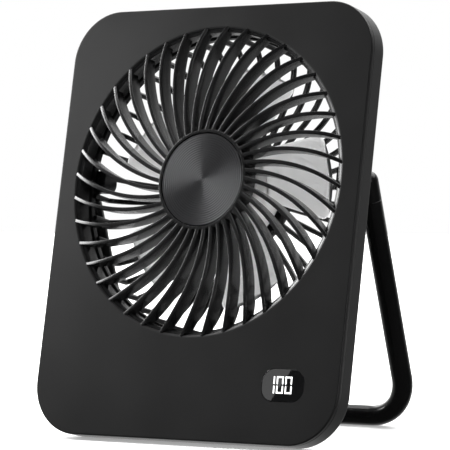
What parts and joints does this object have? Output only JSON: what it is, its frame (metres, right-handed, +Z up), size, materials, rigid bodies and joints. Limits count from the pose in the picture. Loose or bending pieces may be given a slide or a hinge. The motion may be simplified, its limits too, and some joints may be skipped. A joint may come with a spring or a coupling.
{
  "type": "foldable desk fan",
  "caption": "Flat rectangular desk fan with a round swirl grille, a number display and a folding tube stand that also serves as a handle.",
  "frame": {"origin": "bottom centre of the bounding box, standing with the stand open as in the picture", "axes": "+Z up, +X to the right seen from the front, +Y towards the back"},
  "size_m": [0.162, 0.0814, 0.1949],
  "materials": {
    "face_plastic": "satin black moulded plastic",
    "grille_plastic": "semi-gloss black moulded plastic",
    "spun_cap": "dark spun disc with concentric grooves",
    "blade_plastic": "light grey satin plastic",
    "lens": "glossy black tinted lens",
    "stand_paint": "gloss black painted tube",
    "knuckle_plastic": "gloss black moulded end",
    "steel": "plain steel",
    "magnet": "dark bonded magnet",
    "copper": "enamelled wire",
    "board": "green circuit board",
    "switch_plastic": "black plastic",
    "display_plastic": "dark display block",
    "cell_foil": "wrapped flat cell",
    "button_rubber": "soft black button",
    "aluminium_base": "die-cast motor base"
  },
  "bodies": {
    "casing": {"front_cover": "face_plastic", "side_frame": "face_plastic", "rear_cover": "face_plastic", "front_grille": "grille_plastic", "hub_cap": "spun_cap", "rear_grille": "grille_plastic", "display_window": "lens", "display_module": "display_plastic", "display_board": "board", "tact_switch": "switch_plastic", "battery_pack": "cell_foil", "charge_board": "board", "usb_port": "steel", "motor_base": "aluminium_base", "bearing_front": "steel", "bearing_rear": "steel", "stator_core": "steel", "stator_winding": "copper", "hinge_washer_left": "switch_plastic", "hinge_washer_right": "switch_plastic", "cover_screws": "steel", "grille_screws": "steel", "motor_screws": "steel"},
    "fan": {"impeller": "blade_plastic", "rotor_can": "steel", "magnet_ring": "magnet", "motor_shaft": "steel", "shaft_clip": "steel"},
    "stand": {"stand_tube": "stand_paint", "stand_knuckle_left": "knuckle_plastic", "stand_knuckle_right": "knuckle_plastic", "hinge_pin_left": "steel", "hinge_pin_right": "steel"},
    "button": {"power_button": "button_rubber"}
  },
  "joints": [
    {"name": "stand_hinge", "type": "hinge", "parent": "casing", "child": "stand", "pos_m": [0, 0.00751, 0.11446], "axis": [1, 0, 0], "range_deg": [-30.56, 149.44]},
    {"name": "fan_spin", "type": "hinge", "parent": "casing", "child": "fan", "pos_m": [0, -0.00819, 0.11667], "axis": [0, -0.9613, 0.2756], "continuous": true},
    {"name": "power_button", "type": "slide", "parent": "casing", "child": "button", "axis": [0, -0.9613, 0.2756], "range_m": [0, 0.0006], "stiffness_N_per_m": 800}
  ]
}
